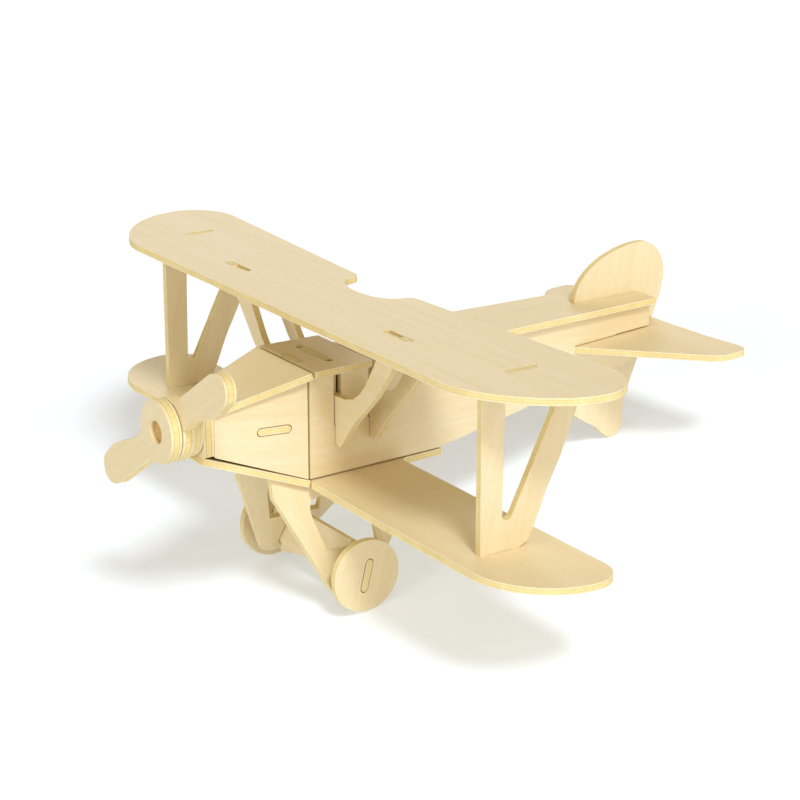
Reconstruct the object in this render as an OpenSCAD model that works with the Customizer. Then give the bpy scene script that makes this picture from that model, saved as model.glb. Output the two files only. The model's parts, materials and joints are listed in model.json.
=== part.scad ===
// Slot-together plywood biplane. Every sub-part is drawn in a level build frame: nose towards -Y,
// port side towards +X, Z = 0 on the upper face of the lower wing, Y = 0 where the nose begins.
// standing() then tips the whole model back onto its two wheels and its tail skid.

/* [Sheet] */
// Thickness of the plywood sheets
sheet_t = 2.6; // [2.4:0.1:2.8]
// Thickness of the hub discs and of the nose front plate
hub_t = 4.3; // [4:0.1:4.5]
// Gap round each tab in its slot
slot_gap = 0.3; // [0.2:0.05:0.35]
// Width of the open seams between the fuselage plates
seam = 0.5; // [0.4:0.05:0.6]

/* [Wings] */
// Span of the upper wing
upper_span = 281; // [276:1:290]
// Span of the lower wing
lower_span = 288; // [282:1:292]
// Height of the upper wing's upper face above the lower wing's upper face
wing_gap = 61; // [60:0.5:62]
// Distance of each outer strut from the middle plane
strut_x = 105; // [100:1:106]

/* [Fuselage] */
// Half width across the side plates at the nose joint
side_x = 15.65; // [15.5:0.05:15.8]
// Narrowing of the side plates towards the tail, in millimetres per millimetre
side_taper = 0.0373; // [0.036:0.0005:0.038]
// Height of the deck's upper face
deck_z = 41; // [41:0.5:41.5]
// Rear end of the side plates
tail_y = 158; // [157.5:0.5:158.5]
// Length of the nose, up to the back of the front plate
nose_len = 35; // [34.8:0.1:35.4]

/* [Landing gear] */
// Radius of a wheel
wheel_r = 13.5; // [13:0.5:14]
// Outer face of a wheel from the middle plane
wheel_x = 33.3; // [33:0.1:34]
// Outward lean of each gear leg in degrees
leg_splay = 20; // [19.5:0.5:20.5]
// Backward lean of the axle plate in degrees
axle_tilt = 14; // [13:0.5:15]

/* [Propeller] */
// Radius of the hub discs
hub_r = 11.3; // [11:0.1:11.5]
// Height of the propeller axis
prop_z = 23.8; // [23.7:0.1:23.9]
// Length of a blade from the propeller axis to its tip
blade_len = 48.5; // [46:0.5:50]
// Angle of the front blade below the horizontal in degrees
blade_droop = 34; // [30:1:40]

/* [Hidden] */
$fn = 96;

arc_steps = 16;
past = 1;

// Upper wing: leading edge, trailing edge at the middle, and the trailing edge's rise outwards
upper_le = -4.9;
upper_te = 41;
upper_te_rise = 0.064;
cutout_x = 16.5;
cutout_depth = 8.6;
cutout_round = 4;

// Lower wing, with the belly strip that runs on behind it
lower_le = -1.3;
lower_te = 39;
lower_tip_y = 27.7;
belly_end = 57.5;

// Outer struts: front edge, tabs
strut_front = 8.3;
strut_top_tab = [18.7, 30.3];
strut_foot_tab = [10.5, 21.5];
strut_recess = 0.3;

// Cabane frames: front faces, inner and outer ends of the tops, sunk inner part of the wing tabs
cabane_ys = [10.5, 25.2];
cabane_top = [45.5, 61.1];
cabane_step = 55.5;
cabane_recess = 0.9;
cabane_foot_z = 8;
cabane_lap_z = 20;
cabane_tab_x = 8.6;
deck_slot = 22.2;

// Fuselage
deck_under = deck_z - sheet_t;
deck_overhang = 3.3;
front_deck_end = 24.6;
rear_deck_start = 50;
rise_start = 57;
rise_slope = 0.183;
taper_angle = atan(side_taper);
belly_tab_x = 5;
bulkhead_y = 1;

belly_tab_ys = [bulkhead_y, cabane_ys[0]];

// Nose: half width at the front, slopes of the top and bottom plates, slot for the shelf
nose_x = 9.5;
cheek_angle = atan((side_x - nose_x) / nose_len);
nose_rise = 20;
nose_drop = 15.5;
nose_bottom_len = 41.4;
shelf_z = 19.2;
cheek_gap = 0.8;

// Tail
tail_ref = [140, 28.1];
tail_incidence = 2.4;
tail_half = 54.3;
tail_relief_start = 141;
tail_relief_z = 0.55;
fin_slot_start = 127.5;
skid_centre = [147.9, -12.2];
skid_r = 4.8;

// Landing gear
axle_y = 12;
axle_z = -33;
axle_tab_h = 12.2;
leg_x = 11.5;
leg_tab = [6, 20];

// Propeller, front to back along the hub
spacer_front = -nose_len - 2 * hub_t;
blade_gap = 0.3;
rear_blade_front = spacer_front - hub_t;
front_blade_front = rear_blade_front - hub_t - blade_gap;
head_r = 4.1;
journal_r = 3.2;
bore_r = journal_r + 0.05;
collar_r = 4.8;
shaft_recess = 1.4;
head_chamfer = [0.6, 1.6];
play = 0.4;

// Stance: the line under the wheels and the skid lies on the table
gear_to_skid = [skid_centre.x - axle_y, skid_centre.y - axle_z];
stance = atan2(gear_to_skid.y, gear_to_skid.x) + asin((wheel_r - skid_r) / norm(gear_to_skid));
stand_z = wheel_r + axle_y * sin(stance) - axle_z * cos(stance);
stand_y = -62.7;

// ---- Helpers ------------------------------------------------------------------------------

// Points on an elliptical arc
function arc(centre, r, from, to) = [
    for (i = [0:arc_steps])
        let (a = from + (to - from) * i / arc_steps)
            [centre.x + r.x * cos(a), centre.y + r.y * sin(a)]
];

// Points on a cubic curve with two handles
function curve(p0, p1, p2, p3) = [
    for (i = [0:arc_steps])
        let (t = i / arc_steps, u = 1 - t)
            u * u * u * p0 + 3 * u * u * t * p1 + 3 * u * t * t * p2 + t * t * t * p3
];

// A right half outline followed by its mirror image
function mirrored(half) = concat(
    half,
    [for (i = [len(half) - 1:-1:0]) if (half[i].x > 0.01) [-half[i].x, half[i].y]]
);

// Half width of the fuselage at a station behind the nose joint
function side_at(y) = side_x - side_taper * y;

// Half width of the nose at a station in front of the nose joint
function cheek_at(y) = side_x + (side_x - nose_x) / nose_len * y;

// Height of the side plates' lower edge
function keel_at(y) = max(0, rise_slope * (y - rise_start));

// Tips the level model back onto its wheels and skid
module standing() {
    translate([0, stand_y, stand_z]) rotate([-stance, 0, 0]) children();
}

// A level sheet with its lower face at z
module level_sheet(z, t = sheet_t) {
    translate([0, 0, z]) linear_extrude(t) children();
}

// An upright sheet across the model, drawn in X and Z, with its front face at y
module cross_sheet(y, t = sheet_t) {
    translate([0, y + t, 0]) rotate([90, 0, 0]) linear_extrude(t) children();
}

// An upright sheet along the model, drawn in Y and Z, with its inner face at x
module long_sheet(x, t = sheet_t) {
    translate([x, 0, 0]) rotate([90, 0, 90]) linear_extrude(t) children();
}

// Both sides of the model
module both_sides() {
    for (side = [0, 1]) mirror([side, 0, 0]) children();
}

// A slot with round ends that lies along the drawing's first axis
module slot(centre, length, width = sheet_t + 2 * slot_gap) {
    translate(centre) {
        square([length - width, width], center = true);
        for (end = [-1, 1]) translate([end * (length - width) / 2, 0]) circle(d = width, $fn = 32);
    }
}

// A slot along the drawing's second axis
module tall_slot(centre, length, width = sheet_t + 2 * slot_gap) {
    translate(centre) rotate(90) slot([0, 0], length, width);
}

// ---- Wings ----------------------------------------------------------------------------------

module upper_wing() {
    half = upper_span / 2;
    lip = upper_te + upper_te_rise * (cutout_x + cutout_round) - cutout_round;
    tip_te = upper_te + upper_te_rise * (half - 20);
    outline = concat(
        curve([half - 40, upper_le], [half - 22, upper_le], [half - 0.2, 14], [half, 31.5]),
        curve([half, 33], [half, 39.5], [half - 7, tip_te + 0.9], [half - 20, tip_te]),
        arc([cutout_x + cutout_round, lip], [cutout_round, cutout_round], 90, 180),
        arc([0, lip], [cutout_x - 0.1, cutout_depth], 0, -90)
    );
    color("blanchedalmond") standing() level_sheet(wing_gap - sheet_t) difference() {
        polygon(mirrored(outline));
        both_sides() {
            strut_slot(strut_top_tab, slot_gap);
            cabane_slot(slot_gap);
        }
    }
}

module lower_wing() {
    half = lower_span / 2;
    fillet = 3;
    outline = concat(
        [[0, seam / 2], [side_x + 0.6, seam / 2], [side_x + 1.2, lower_le + 0.8], [60, lower_le]],
        arc([half - 31, lower_tip_y], [31, lower_tip_y - lower_le], -90, 0),
        arc([half - 11.2, lower_tip_y], [11.2, lower_te - lower_tip_y], 4, 90),
        arc([side_at(lower_te) + fillet, lower_te + fillet], [fillet, fillet], -90, -180),
        [[side_at(belly_end), belly_end], [0, belly_end]]
    );
    color("blanchedalmond") standing() difference() {
        level_sheet(-sheet_t) difference() {
            polygon(mirrored(outline));
            both_sides() strut_slot(strut_foot_tab, slot_gap);
            for (y = belly_tab_ys)
                slot([0, y + sheet_t / 2], 2 * belly_tab_x + sheet_t);
        }
        both_sides() leg_plane() leg_tab_solid(slot_gap);
    }
}

// The round-ended slot over a strut's tab, or with no gap the tab itself
module strut_slot(span, gap) {
    tall_slot(
        [strut_x, (span[0] + span[1]) / 2],
        span[1] - span[0] + 2 * gap, sheet_t + 2 * gap
    );
}

// The same for the front cabane frame's tab
module cabane_slot(gap) {
    slot(
        [(cabane_top[0] + cabane_top[1]) / 2, cabane_ys[0] + sheet_t / 2],
        cabane_top[1] - cabane_top[0] + 2 * gap, sheet_t + 2 * gap
    );
}

// ---- Struts ---------------------------------------------------------------------------------

module strut(side) {
    top = wing_gap - sheet_t;
    window_top = top - 6;
    color("wheat") standing() mirror([side, 0, 0]) union() {
        long_sheet(strut_x - sheet_t / 2) difference() {
            polygon([
                [24, 0], [27.6, 1.8], [30, 6.5], [34.4, 17.2], [40.3, 28.8], [46.1, 42.7],
                [50.2, top - 2.5], [49, top], [strut_front, top], [strut_front, 0]
            ]);
            polygon(concat(
                [[18.9, window_top], [17.5, window_top - 1.5]],
                arc([19, 12.6], [2.1, 2.1], 180, 335),
                [[39.5, window_top - 3.5], [39.8, window_top - 1], [38.5, window_top]]
            ));
        }
        level_sheet(top - past, sheet_t + past - strut_recess) strut_slot(strut_top_tab, 0);
        level_sheet(-sheet_t, sheet_t + past) strut_slot(strut_foot_tab, 0);
    }
}

// The tab under a cross sheet, from its root height down through the belly
module belly_tab(root) {
    translate([-belly_tab_x, -sheet_t]) square([2 * belly_tab_x, sheet_t + root]);
}

// One transverse frame: a bulkhead inside the fuselage and a leg out to the wing on each side
module cabane(index) {
    top = wing_gap - sheet_t;
    crown = index == 0 ? deck_under - past : deck_under - 2;
    lap = side_at(cabane_ys[index]);
    half = concat(
        [
            [0, cabane_foot_z], [9, cabane_foot_z], [11, cabane_foot_z + 2],
            [11.8, cabane_lap_z - past], [lap + slot_gap, cabane_lap_z - past]
        ],
        arc([lap + 2.4, 13.4], [2.2, 2.2], 180, 320),
        [
            [27, 22], [34, 28.6], [41, 35.6], [51.5, 48.6], [cabane_top[1], top - 1],
            [cabane_top[1], top], [cabane_top[0], top], [cabane_top[0], top - 2.5]
        ],
        [[41.7, 49.2], [35, 38.6], [31.6, 34.6], [27, 31.4], [21.5, 29.8], [lap - 0.5, 29.6]],
        [[lap - sheet_t - 0.6, 29.6], [lap - sheet_t - 0.6, crown], [0, crown]]
    );
    color("burlywood") standing() union() {
        cross_sheet(cabane_ys[index]) {
            polygon(mirrored(half));
            if (index == 0) {
                translate([-cabane_tab_x, crown - past])
                    square([2 * cabane_tab_x, deck_z - crown + past]);
                belly_tab(cabane_foot_z + past);
            }
        }
        if (index == 0) both_sides() difference() {
            level_sheet(top - past, sheet_t + past) cabane_slot(0);
            translate([0, 0, wing_gap - cabane_recess]) cube([cabane_step, 40, sheet_t]);
        }
    }
}

// ---- Fuselage -------------------------------------------------------------------------------

module side_plate(side) {
    color("cornsilk") standing() mirror([side, 0, 0]) difference() {
        translate([side_x, 0, 0]) rotate([0, 0, taper_angle]) long_sheet(-sheet_t)
            polygon([
                [0, seam], [rise_start, seam], [tail_y, keel_at(tail_y)], [tail_y, deck_under],
                [0, deck_under]
            ]);
        for (y = cabane_ys)
            translate([0, y - slot_gap, cabane_lap_z - past - slot_gap])
                cube([side_x + past, sheet_t + 2 * slot_gap, deck_z]);
        tailplane_solid(slot_gap);
        tail_relief();
    }
}

// The wider rear part of the side plates' slot for the tailplane
module tail_relief() {
    translate([0, tail_ref.x, tail_ref.y]) rotate([tail_incidence, 0, 0])
        translate([-side_x, tail_relief_start - tail_ref.x, -past])
            cube([2 * side_x, 30, past + tail_relief_z]);
}

module cheek(side) {
    rise = tan(nose_rise) / cos(cheek_angle);
    drop = tan(nose_drop) / cos(cheek_angle);
    length = nose_len / cos(cheek_angle);
    color("cornsilk") standing() mirror([side, 0, 0])
        translate([side_x, 0, 0]) rotate([0, 0, -cheek_angle]) long_sheet(-sheet_t) difference() {
            polygon([
                [-cheek_gap, seam], [-cheek_gap, deck_under - drop * cheek_gap],
                [-length, deck_under - drop * length],
                [-length, rise * length + seam]
            ]);
            shelf_slot(slot_gap);
        }
}

// The round-ended slot in a cheek, or the shelf's tab that fills it
module shelf_slot(gap) {
    slot([-13.3, shelf_z + sheet_t / 2], 12.4 + 2 * gap, sheet_t + 2 * gap);
}

module nose_top() {
    length = (nose_len - 0.3) / cos(nose_drop);
    rear = seam / 2;
    color("antiquewhite") standing() translate([0, 0, deck_under]) rotate([nose_drop, 0, 0])
        level_sheet(0) polygon([
            [side_x + deck_overhang, -rear], [nose_x + 1.4, -length],
            [-nose_x - 1.4, -length], [-side_x - deck_overhang, -rear]
        ]);
}

module nose_bottom() {
    front_x = cheek_at(-nose_bottom_len * cos(nose_rise));
    color("moccasin") standing() rotate([-nose_rise, 0, 0])
        level_sheet(-sheet_t) polygon([
            [side_x + 0.3, 0], [front_x + 0.6, -nose_bottom_len],
            [-front_x - 0.6, -nose_bottom_len], [-side_x - 0.3, 0]
        ]);
}

// The upright plate that closes the nose and carries the shaft
module nose_front() {
    floor_z = tan(nose_rise) * (nose_len + hub_t);
    roof_z = deck_under - tan(nose_drop) * nose_len;
    color("khaki") standing() cross_sheet(-nose_len - hub_t, hub_t) difference() {
        translate([-nose_x, floor_z]) square([2 * nose_x, roof_z - floor_z]);
        translate([0, prop_z]) circle(r = bore_r);
    }
}

module shaft_bearing() {
    color("burlywood") standing() cross_sheet(-nose_len) difference() {
        translate([-6.2, 14]) square([12.4, 14.2]);
        translate([0, prop_z]) circle(r = bore_r);
    }
}

module nose_bulkhead() {
    half = side_at(bulkhead_y + sheet_t) - sheet_t - 0.1;
    color("burlywood") standing() cross_sheet(bulkhead_y) {
        translate([-half, 0]) square([2 * half, deck_under]);
        belly_tab(past);
        translate([-5, deck_under - past]) square([10, sheet_t + past]);
    }
}

// Level plate in the nose, with a tab through each cheek
module nose_shelf() {
    inner = sheet_t + 0.1;
    half = [[cheek_at(-24) - inner, -24], [cheek_at(0) - inner, 0]];
    color("burlywood") standing() union() {
        level_sheet(shelf_z) polygon(mirrored(half));
        both_sides() translate([side_x, 0, 0]) rotate([0, 0, -cheek_angle])
            long_sheet(-sheet_t - past, sheet_t + past - 0.1) shelf_slot(0);
    }
}

// A plain former between the side plates
module former(y, top_tab) {
    half = side_at(y + sheet_t) - sheet_t - 0.1;
    floor_z = keel_at(y);
    color("burlywood") standing() cross_sheet(y) {
        translate([-half, floor_z]) square([2 * half, deck_under - floor_z]);
        if (top_tab) translate([-5, deck_under - past]) square([10, sheet_t + past]);
    }
}

module front_deck() {
    color("peru") standing() level_sheet(deck_under) difference() {
        polygon([
            [side_x + deck_overhang, seam / 2],
            [side_at(front_deck_end) + deck_overhang, front_deck_end],
            [-side_at(front_deck_end) - deck_overhang, front_deck_end],
            [-side_x - deck_overhang, seam / 2]
        ]);
        slot([0, bulkhead_y + sheet_t / 2], 11.6);
        slot([0, cabane_ys[0] + sheet_t / 2], deck_slot);
    }
}

module rear_deck() {
    front = side_at(rear_deck_start) + deck_overhang;
    rear = side_at(tail_y) + deck_overhang - 0.5;
    color("antiquewhite") standing() level_sheet(deck_under) difference() {
        polygon(mirrored(concat(
            [[0, rear_deck_start + 5]],
            arc([0, rear_deck_start], [9, 5], 80, 0),
            [[front, rear_deck_start], [rear, tail_y + 0.5], [0, tail_y + 0.5]]
        )));
        slot([0, 62 + sheet_t / 2], 11.6);
        translate([-sheet_t / 2 - slot_gap, fin_slot_start - slot_gap])
            square([sheet_t + 2 * slot_gap, tail_y]);
    }
}

// ---- Tail -----------------------------------------------------------------------------------

// The tailplane's sheet, grown by a gap
module tailplane_solid(gap) {
    outline = concat(
        [[9, -23], [11, -19.5]],
        arc([tail_half - 9, 20.5], [9, 9], -50, 0),
        arc([tail_half - 4.5, 25], [4.5, 4.5], 5, 90),
        [[30, 27.3], [12, 26.6], [0, 26.6]]
    );
    translate([0, tail_ref.x, tail_ref.y]) rotate([tail_incidence, 0, 0])
        level_sheet(-sheet_t - gap, sheet_t + 2 * gap) polygon(mirrored(outline));
}

module tailplane() {
    color("blanchedalmond") standing() difference() {
        tailplane_solid(0);
        translate([-sheet_t / 2 - slot_gap, 100, 0]) cube([sheet_t + 2 * slot_gap, tail_ref.x - 100, 60]);
    }
}

module fin_and_skid() {
    color("cornsilk") standing() difference() {
        long_sheet(-sheet_t / 2) polygon(concat(
            curve([171.6, 46], [171.6, 54], [166.5, 60.7], [158.5, 60.7]),
            curve([158, 60.7], [147.5, 60.7], [fin_slot_start + 0.6, 54.4], [fin_slot_start, deck_z]),
            [[fin_slot_start, 33], [109, 9.6], [131.5, -6.3], [135.7, -9.1], [139.3, -10.9],
                [141.9, -13.3], [143.2, -14.7]],
            arc(skid_centre, [skid_r, skid_r], 222, 375),
            [[152.8, -7], [153.6, -2], [156.5, 6], [166.5, 29.6], [168.4, 34.5], [170.3, 39.5]]
        ));
        intersection() {
            tailplane_solid(slot_gap);
            translate([-past - sheet_t, tail_ref.x, 0]) cube([4 * sheet_t, 60, 60]);
        }
    }
}

// ---- Landing gear ---------------------------------------------------------------------------

// Places a sheet in the leaning plane of the port gear leg
module leg_plane() {
    translate([leg_x, 0, -sheet_t]) rotate([0, -leg_splay, 0]) children();
}

// The tab that joins a leg to the belly, grown by a gap
module leg_tab_solid(gap) {
    long_sheet(-sheet_t / 2 - gap, sheet_t + 2 * gap)
        translate([leg_tab[0] - gap, -past])
            square([leg_tab[1] - leg_tab[0] + 2 * gap, sheet_t + 1.4 * past]);
}

// The axle plate's sheet, grown by a gap
module axle_plate_solid(gap) {
    shoulder = 9.3;
    foot = 8.2;
    root = 21;
    half = concat(
        [[0, shoulder + gap], [root, shoulder + gap], [root, -foot], [18, -foot]],
        arc([0, -foot], [15, 2.6], 20, 90)
    );
    translate([0, axle_y, axle_z]) rotate([-axle_tilt, 0, 0]) {
        cross_sheet(-sheet_t / 2 - gap, sheet_t + 2 * gap) polygon(mirrored(half));
        both_sides() long_sheet(root - past, wheel_x - root + past)
            tall_slot([0, 0], axle_tab_h + 2 * gap, sheet_t + 2 * gap);
    }
}

module gear_leg(side) {
    drop = 0.55;
    color("navajowhite") standing() mirror([side, 0, 0]) difference() {
        leg_plane() union() {
            long_sheet(-sheet_t / 2) difference() {
                polygon(concat(
                    [[31.2, -drop], [-1.2, -drop], [-13.8, 4.3], [-14.2, -2.4]],
                    arc([8, -34], [8.2, 7.4], 222, 290),
                    [[19.5, -38.5], [25.6, -31.3], [31.2, -24.6]]
                ));
                polygon(concat(
                    [[24.5, -5.4]],
                    arc([3.4, -9.4], [4, 4], 90, 190),
                    [[-0.2, -13], [3.2, -24.8], [24.5, -25.5]]
                ));
            }
            leg_tab_solid(0);
        }
        axle_plate_solid(slot_gap);
    }
}

module axle_plate() {
    color("wheat") standing() union() axle_plate_solid(0);
}

module wheel(side) {
    color("wheat") standing() mirror([side, 0, 0])
        translate([0, axle_y, axle_z]) long_sheet(wheel_x - sheet_t) difference() {
            circle(r = wheel_r);
            rotate(-axle_tilt) tall_slot([0, 0], axle_tab_h + 2 * slot_gap);
        }
}

// ---- Propeller ------------------------------------------------------------------------------

// A single blade, drawn along the first axis from inside the hub disc
module blade_outline() {
    root = 6;
    polygon(concat(
        [[root, -4.6], [16, -3.5], [22, -4.3], [28, -5.8], [35, -7]],
        arc([blade_len - 9, -0.2], [9, 6.7], -60, 90),
        [[root, 6.5]]
    ));
}

module blade(front, angle) {
    color("antiquewhite") standing() translate([0, 0, prop_z]) cross_sheet(front, hub_t)
        difference() {
            union() {
                circle(r = hub_r);
                rotate(angle) blade_outline();
            }
            circle(r = head_r);
        }
}

module hub_spacer() {
    color("khaki") standing() translate([0, 0, prop_z]) cross_sheet(spacer_front, hub_t - play)
        difference() {
            circle(r = hub_r - 0.6);
            circle(r = head_r);
        }
}

// The turned shaft: a thick head in the hub and a thin journal in the nose
module prop_shaft() {
    head_front = front_blade_front + shaft_recess;
    head_back = -nose_len - hub_t - play;
    journal_back = -nose_len + 2 * sheet_t + 2;
    color("goldenrod") standing() translate([0, 0, prop_z]) rotate([-90, 0, 0]) {
        translate([0, 0, head_front])
            cylinder(r1 = head_r - head_chamfer[0], r2 = head_r, h = head_chamfer[1]);
        translate([0, 0, head_front + head_chamfer[1]])
            cylinder(r = head_r, h = head_back - head_front - head_chamfer[1]);
        translate([0, 0, head_back - past])
            cylinder(r = journal_r, h = journal_back - head_back + past);
    }
}

module shaft_collar() {
    color("burlywood") standing() translate([0, 0, prop_z])
        cross_sheet(-nose_len + sheet_t + play) difference() {
            circle(r = collar_r);
            circle(r = journal_r);
        }
}

upper_wing();
lower_wing();
strut(0);  // strut_port
strut(1);  // strut_starboard
cabane(0);  // cabane_front
cabane(1);  // cabane_rear
side_plate(0);  // side_port
side_plate(1);  // side_starboard
cheek(0);  // cheek_port
cheek(1);  // cheek_starboard
nose_top();
nose_bottom();
nose_front();
shaft_bearing();
nose_bulkhead();
nose_shelf();
former(62, true);  // former_mid
former(104, false);  // former_tail
front_deck();
rear_deck();
tailplane();
fin_and_skid();
gear_leg(0);  // gear_leg_port
gear_leg(1);  // gear_leg_starboard
axle_plate();
wheel(0);  // wheel_port
wheel(1);  // wheel_starboard
blade(front_blade_front, 180 + blade_droop);  // prop_blade_front
blade(rear_blade_front, blade_droop);  // prop_blade_rear
hub_spacer();
prop_shaft();
shaft_collar();
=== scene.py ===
"""Slot-together plywood biplane: wood, rounded edges, floor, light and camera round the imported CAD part."""

import json
import math

import bmesh
import bpy
from mathutils import Matrix, Vector


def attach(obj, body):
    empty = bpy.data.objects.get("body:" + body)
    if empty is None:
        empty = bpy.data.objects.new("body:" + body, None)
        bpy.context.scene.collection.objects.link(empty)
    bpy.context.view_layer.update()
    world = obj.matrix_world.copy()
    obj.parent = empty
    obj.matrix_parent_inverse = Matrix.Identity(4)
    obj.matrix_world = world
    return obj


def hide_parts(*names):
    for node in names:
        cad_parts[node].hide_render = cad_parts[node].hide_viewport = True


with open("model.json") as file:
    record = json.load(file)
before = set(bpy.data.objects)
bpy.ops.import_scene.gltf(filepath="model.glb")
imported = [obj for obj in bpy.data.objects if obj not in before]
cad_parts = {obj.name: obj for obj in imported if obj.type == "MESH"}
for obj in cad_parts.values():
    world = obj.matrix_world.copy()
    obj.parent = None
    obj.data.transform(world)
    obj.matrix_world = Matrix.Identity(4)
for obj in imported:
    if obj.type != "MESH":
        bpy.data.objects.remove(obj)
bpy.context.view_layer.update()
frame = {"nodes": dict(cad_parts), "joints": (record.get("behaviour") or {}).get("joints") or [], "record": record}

MM = 0.001

# ---- The level build frame, found from the propeller's axis -------------------------------------
# In it the nose points to -Y, the wings are level and Z = 0 is the lower wing's upper face.

AXIS_LEVEL = Vector((0, -0.030, 0.0238))  # the joint's point in the level frame
joint = frame["joints"][0]
nose = Vector(joint["axis"])
level = Matrix((Vector((1, 0, 0)), -nose, Vector((1, 0, 0)).cross(-nose))).transposed()
level_origin = Vector(joint["pos_m"]) - level @ AXIS_LEVEL

# ---- Materials ------------------------------------------------------------------------------------


class Graph:
    """A new material and short ways to add nodes to it."""

    def __init__(self, name):
        self.material = bpy.data.materials.new(name)
        self.material.use_nodes = True
        self.tree = self.material.node_tree
        self.shader = self.tree.nodes["Principled BSDF"]

    def put(self, socket, value):
        if isinstance(value, bpy.types.NodeSocket):
            self.tree.links.new(value, socket)
        else:
            socket.default_value = value

    def node(self, kind, inputs, **settings):
        made = self.tree.nodes.new(kind)
        for key, value in settings.items():
            setattr(made, key, value)
        for key, value in inputs.items():
            self.put(made.inputs[key], value)
        return made

    def math(self, operation, a, b=0.0):
        return self.node("ShaderNodeMath", {0: a, 1: b}, operation=operation).outputs[0]

    def vector(self, operation, a, b):
        return self.node("ShaderNodeVectorMath", {0: a, 1: b}, operation=operation).outputs[0]

    def attribute(self, name, output):
        return self.node("ShaderNodeAttribute", {}, attribute_name=name).outputs[output]

    def noise(self, vector, stretch, detail=2.0, roughness=0.5, distortion=0.0):
        """Noise whose grains are 1/stretch millimetres long in each direction."""
        scaled = self.vector("MULTIPLY", vector, stretch)
        inputs = {"Vector": scaled, "Scale": 1.0, "Detail": detail, "Roughness": roughness}
        inputs["Distortion"] = distortion
        return self.node("ShaderNodeTexNoise", inputs).outputs["Fac"]

    def ramp(self, factor, stops):
        """Colour ramp with stops of (position, grey or colour)."""
        made = self.node("ShaderNodeValToRGB", {"Fac": factor})
        elements = made.color_ramp.elements
        while len(elements) < len(stops):
            elements.new(0.5)
        for element, (position, value) in zip(elements, stops):
            element.position = position
            rgb = value if isinstance(value, tuple) else (value, value, value)
            element.color = (*rgb, 1.0)
        return made.outputs["Color"]

    def mix(self, factor, a, b, blend="MIX"):
        made = self.node("ShaderNodeMix", {}, data_type="RGBA", blend_type=blend)
        for socket, value in ((0, factor), (6, a), (7, b)):
            if isinstance(value, tuple):
                value = (*value, 1.0)
            self.put(made.inputs[socket], value)
        return made.outputs[2]

    def bump(self, height, distance, strength):
        inputs = {"Height": height, "Distance": distance, "Strength": strength}
        return self.node("ShaderNodeBump", inputs).outputs["Normal"]

    def finish(self, colour, roughness, normal, specular):
        self.put(self.shader.inputs["Base Color"], colour)
        self.put(self.shader.inputs["Roughness"], roughness)
        self.put(self.shader.inputs["Normal"], normal)
        self.put(self.shader.inputs["Specular IOR Level"], specular)
        return self.material


SEED_SHIFT = (517.0, 291.0, 73.0)  # how far in millimetres a seed of 1 moves the grain, each way


def grain_place(graph):
    """Place in the sheet in millimetres (along the grain, across it, through the sheet), moved per piece."""
    place = graph.vector("MULTIPLY", graph.attribute("grain", "Vector"), (1000, 1000, 1000))
    seed = graph.attribute("seed", "Fac")
    shifts = {axis: graph.math("MULTIPLY", seed, shift) for axis, shift in enumerate(SEED_SHIFT)}
    return graph.vector("ADD", place, graph.node("ShaderNodeCombineXYZ", shifts).outputs[0])


def veneer(name, light, dark, fleck):
    """Face of a sheet: rotary-cut veneer with soft bands, fibres and short pores along the grain."""
    g = Graph(name)
    place = grain_place(g)
    broad = g.noise(place, (0.006, 0.05, 0.05), 2.0, 0.5, 0.6)
    bands = g.noise(place, (0.009, 0.42, 0.42), 4.0, 0.55, 0.35)
    fibres = g.noise(place, (0.11, 3.4, 3.4), 3.0, 0.6)
    pores = g.noise(place, (0.55, 6.5, 6.5), 1.0, 0.4)
    # Painted shade: a higher value darkens the veneer of the sheets that lie in shade
    painted_shade = g.attribute("painted_shade", "Fac")
    share = g.math("ADD", g.math("MULTIPLY", bands, 0.62), g.math("MULTIPLY", broad, 0.38))
    share = g.math("ADD", share, g.math("MULTIPLY", g.math("SUBTRACT", fibres, 0.5), 0.30))
    share = g.math("ADD", share, g.math("MULTIPLY", painted_shade, 0.16))
    colour = g.ramp(share, [(0.34, light), (0.74, dark)])
    pore_share = g.ramp(pores, [(0.60, 0.0), (0.74, 0.38)])
    colour = g.mix(pore_share, colour, fleck)
    roughness = g.math("ADD", g.math("MULTIPLY", fibres, 0.22), 0.40)
    height = g.math("SUBTRACT", fibres, g.math("MULTIPLY", pore_share, 0.8))
    return g.finish(colour, roughness, g.bump(height, 0.00006, 0.6), 0.5)


def cut_edge(name, outer, core, glue):
    """Cut edge of a sheet: two pale outer veneers, a yellow core of end grain and thin glue lines."""
    g = Graph(name)
    place = grain_place(g)
    layer = g.attribute("layer", "Fac")
    wobble = g.noise(place, (0.35, 0.35, 0.35), 2.0)
    layer = g.math("ADD", layer, g.math("MULTIPLY", g.math("SUBTRACT", wobble, 0.5), 0.07))
    plies = g.ramp(layer, [(0.0, outer), (0.225, outer), (0.25, glue), (0.275, core),
                           (0.725, core), (0.75, glue), (0.775, outer), (1.0, outer)])
    ends = g.noise(place, (2.6, 2.6, 0.8), 3.0, 0.65)
    slow = g.noise(place, (0.16, 0.16, 0.16), 2.0)
    shade = g.ramp(g.math("ADD", g.math("MULTIPLY", ends, 0.7), g.math("MULTIPLY", slow, 0.3)),
                   [(0.32, (1.0, 1.0, 1.0)), (0.72, (0.80, 0.71, 0.56))])
    colour = g.mix(0.85, plies, shade, "MULTIPLY")
    roughness = g.math("ADD", g.math("MULTIPLY", ends, 0.2), 0.6)
    return g.finish(colour, roughness, g.bump(ends, 0.00012, 0.7), 0.22)


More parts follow.
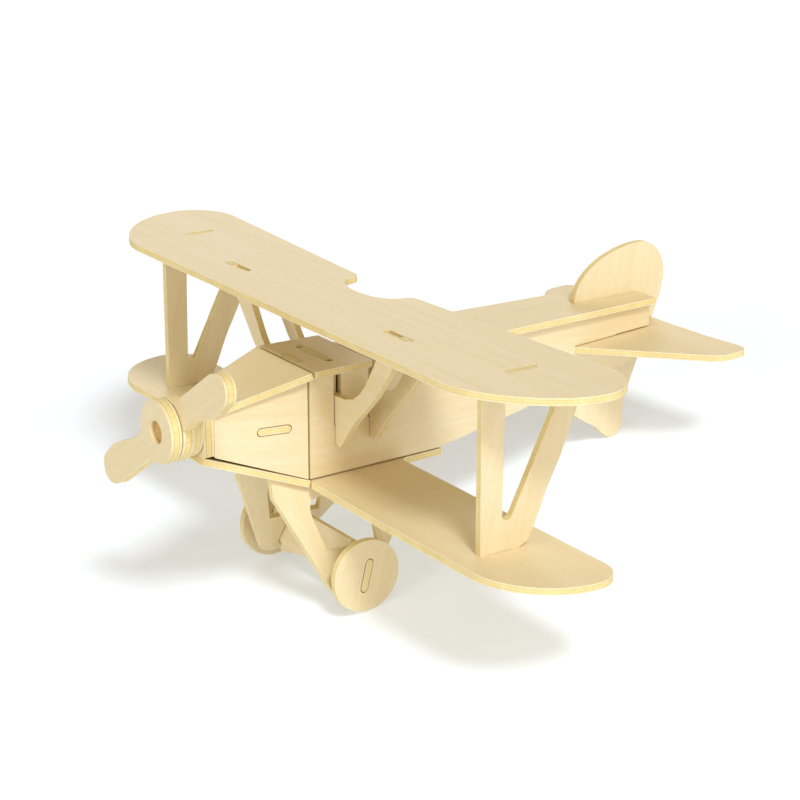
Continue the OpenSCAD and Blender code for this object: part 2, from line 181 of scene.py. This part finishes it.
def dowel_wood(name, light, dark, ring):
    """Turned hardwood: fine grain along the shaft and growth rings on its ends."""
    g = Graph(name)
    place = grain_place(g)
    fibres = g.noise(place, (0.12, 4.0, 4.0), 3.0, 0.6)
    across = g.vector("MULTIPLY", place, (0.0, 1.0, 1.0))
    warped = g.node("ShaderNodeTexWave", {"Vector": across, "Scale": 0.9, "Distortion": 2.2,
                                          "Detail": 2.0, "Detail Scale": 0.8},
                    wave_type="RINGS", rings_direction="X").outputs["Fac"]
    speckle = g.noise(place, (3.0, 3.0, 3.0), 2.0, 0.6)
    colour = g.ramp(fibres, [(0.3, light), (0.75, dark)])
    colour = g.mix(g.ramp(warped, [(0.55, 0.0), (0.95, 0.45)]), colour, ring)
    colour = g.mix(g.ramp(speckle, [(0.5, 0.0), (0.8, 0.35)]), colour, ring)
    return g.finish(colour, 0.52, g.bump(g.math("ADD", fibres, speckle), 0.00005, 0.6), 0.35)


face = veneer("ply_face", (0.83, 0.725, 0.515), (0.775, 0.645, 0.40), (0.60, 0.44, 0.24))
edge = cut_edge("ply_edge", (0.90, 0.82, 0.57), (0.88, 0.76, 0.42), (0.46, 0.30, 0.12))
dowel = dowel_wood("dowel", (0.74, 0.53, 0.22), (0.60, 0.38, 0.13), (0.34, 0.19, 0.06))

# ---- Pieces ---------------------------------------------------------------------------------------

WELD = 0.002 * MM  # vertices closer than this become one
FLAT_ANGLE = math.radians(0.6)  # faces that meet flatter than this become one
BEVEL = 0.17 * MM
BEVEL_ANGLE = math.radians(35)  # convex edges sharper than this are rounded
SHARP_ANGLE = math.radians(38)  # edges sharper than this keep a hard shading line
FLAT_SHARE = 0.99  # a normal this close to straight through the sheet is on one of its two flat sides
FACE_SHARE = 0.6  # beyond this the face veneer is used, and under it the cut edge
GOLDEN = 0.618034  # spreads the pieces' seeds evenly
DOWEL = "prop_shaft"


def sheet_axes(bm):
    """The direction through the sheet and the grain's direction, from the areas of its faces."""
    total, best, through = {}, 0.0, None
    for f in bm.faces:
        key = tuple(round(abs(c), 2) for c in f.normal)
        total[key] = total.get(key, 0.0) + f.calc_area()
        if total[key] > best:
            best, through = total[key], f.normal.copy()
    centre, weight = Vector(), 0.0
    flat = [f for f in bm.faces if abs(f.normal.dot(through)) > FLAT_SHARE]
    for f in flat:
        centre += f.calc_center_median() * f.calc_area()
        weight += f.calc_area()
    centre /= weight
    side = through.orthogonal().normalized()
    other = through.cross(side)
    saa = sbb = sab = 0.0
    for f in flat:
        for v in f.verts:
            a, b = (v.co - centre).dot(side), (v.co - centre).dot(other)
            saa, sbb, sab = saa + a * a, sbb + b * b, sab + a * b
    turn = 0.5 * math.atan2(2 * sab, saa - sbb)
    along = side * math.cos(turn) + other * math.sin(turn)
    return through, along


def put_attribute(mesh, name, kind, field, values):
    mesh.attributes.new(name, kind, "POINT").data.foreach_set(field, values)


def add_sheet(name, number, painted_shade):
    """A copy of a CAD node with rounded edges, places in the sheet for the grain, and its materials."""
    node = frame["nodes"][name]
    bm = bmesh.new()
    bm.from_mesh(node.data)
    bmesh.ops.remove_doubles(bm, verts=bm.verts, dist=WELD)
    bmesh.ops.dissolve_limit(bm, angle_limit=FLAT_ANGLE, verts=bm.verts, edges=bm.edges)
    through, along = sheet_axes(bm)
    if name == DOWEL:
        through, along = nose.orthogonal().normalized(), nose.copy()
    across = through.cross(along)
    rims = [e for e in bm.edges
            if len(e.link_faces) == 2 and e.is_convex and e.calc_face_angle() > BEVEL_ANGLE]
    bmesh.ops.bevel(bm, geom=rims, offset=BEVEL, segments=2, profile=0.5, affect="EDGES",
                    clamp_overlap=True)
    low = min(v.co.dot(through) for v in bm.verts)
    thick = max(v.co.dot(through) for v in bm.verts) - low
    for f in bm.faces:
        f.smooth = True
        f.material_index = 0 if abs(f.normal.dot(through)) > FACE_SHARE or name == DOWEL else 1
    for e in bm.edges:
        e.smooth = not (len(e.link_faces) == 2 and e.calc_face_angle() > SHARP_ANGLE)
    mesh = bpy.data.meshes.new(name + "_wood")
    bm.to_mesh(mesh)
    bm.free()
    spots = [(v.co.dot(along), v.co.dot(across), v.co.dot(through) - low) for v in mesh.vertices]
    put_attribute(mesh, "grain", "FLOAT_VECTOR", "vector", [c for spot in spots for c in spot])
    put_attribute(mesh, "layer", "FLOAT", "value", [spot[2] / thick for spot in spots])
    put_attribute(mesh, "seed", "FLOAT", "value", [(number * GOLDEN) % 1.0] * len(spots))
    # Each sheet's painted-shade value, which darkens the whole of its veneer
    put_attribute(mesh, "painted_shade", "FLOAT", "value", [painted_shade] * len(spots))
    piece = bpy.data.objects.new(name + "_wood", mesh)
    bpy.context.scene.collection.objects.link(piece)
    for material in (dowel,) if name == DOWEL else (face, edge):
        mesh.materials.append(material)
    shading = piece.modifiers.new("weighted_normals", "WEIGHTED_NORMAL")
    shading.keep_sharp = True
    shading.weight = 60
    return piece


record = frame["record"]
# Painted shade: how much darker some sheets are drawn than the rest, for the sheets that lie in shade (the deck
# and nose top under the upper wing, the lower wing, the front-facing nose and propeller hub and blades)
PAINTED_SHADE_BY_SHEET = {"front_deck": 0.8, "nose_top": 0.5, "nose_front": 0.6, "lower_wing": 0.2,
         "prop_blade_front": 0.45, "prop_blade_rear": 0.4, "hub_spacer": 0.2}
for body, members in record["behaviour"]["bodies"].items():
    # The numbers set the grain seeds. The two bodies share a few, so some pieces in them share a grain.
    for number, name in enumerate(members, len(body)):
        piece = add_sheet(name, number, PAINTED_SHADE_BY_SHEET.get(name, 0.0))
        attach(piece, body)
        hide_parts(name)

# ---- Floor, light and camera --------------------------------------------------------------------


def floor_material():
    g = Graph("floor")
    place = g.node("ShaderNodeTexCoord", {}).outputs["Object"]
    tint = g.noise(place, (3.0, 3.0, 3.0), 2.0)
    colour = g.ramp(tint, [(0.3, (0.82, 0.87, 0.96)), (0.7, (0.84, 0.89, 0.97))])
    g.put(g.shader.inputs["Emission Color"], (0.78, 0.86, 1.0, 1.0))
    g.put(g.shader.inputs["Emission Strength"], 0.23)
    return g.finish(colour, 0.9, g.bump(tint, 0.0001, 0.1), 0.0)


HALF_FLOOR = 9  # metres
floor_mesh = bpy.data.meshes.new("floor")
corners = [(x * HALF_FLOOR, y * HALF_FLOOR, 0) for x, y in ((-1, -1), (1, -1), (1, 1), (-1, 1))]
floor_mesh.from_pydata(corners, [], [(0, 1, 2, 3)])
floor = bpy.data.objects.new("floor", floor_mesh)
floor_mesh.materials.append(floor_material())
bpy.context.scene.collection.objects.link(floor)


def sun(name, azimuth, elevation, spread, strength, colour):
    """A soft distant light; azimuth 0 is in front of the nose and 90 is to port."""
    turn, height = math.radians(azimuth), math.radians(elevation)
    flat = math.cos(height)
    towards = Vector((math.sin(turn) * flat, -math.cos(turn) * flat, math.sin(height)))
    light = bpy.data.lights.new(name, "SUN")
    light.angle = math.radians(spread)
    light.energy = strength
    light.color = colour
    lamp = bpy.data.objects.new(name, light)
    lamp.rotation_euler = towards.to_track_quat("Z", "Y").to_euler()
    bpy.context.scene.collection.objects.link(lamp)


sun("key", 88, 51, 13, 1.3, (0.91, 0.96, 1.0))
sun("side", 86, 24, 56, 0.87, (1.0, 0.965, 0.91))
sun("fill", 10, 19, 40, 0.75, (0.93, 0.97, 1.0))
sun("back", -124, 21, 40, 0.6, (0.80, 0.90, 1.0))

world = bpy.data.worlds.new("studio")
world.use_nodes = True
background = world.node_tree.nodes["Background"]
background.inputs["Color"].default_value = (1.0, 0.77, 0.40, 1.0)
background.inputs["Strength"].default_value = 0.29
bpy.context.scene.world = world
bpy.context.scene.view_settings.view_transform = "Standard"
bpy.context.scene.view_settings.look = "Medium High Contrast"

# The camera's place in metres and its directions, all in the level frame
CAMERA_PLACE = Vector((0.6660, -0.3985, 0.2865))
CAMERA_RIGHT = Vector((0.5572, 0.8304, 0.0))
CAMERA_UP = Vector((-0.2649, 0.1777, 0.9478))
CAMERA_BACK = Vector((0.7870, -0.5281, 0.3190))
lens = bpy.data.cameras.new("camera")
lens.sensor_width = 36
lens.lens = 103.74
lens.clip_start, lens.clip_end = 0.01, 50
camera = bpy.data.objects.new("camera", lens)
facing = level @ Matrix((CAMERA_RIGHT, CAMERA_UP, CAMERA_BACK)).transposed()
camera.matrix_world = Matrix.Translation(level_origin + level @ CAMERA_PLACE) @ facing.to_4x4()
bpy.context.scene.collection.objects.link(camera)
bpy.context.scene.camera = camera
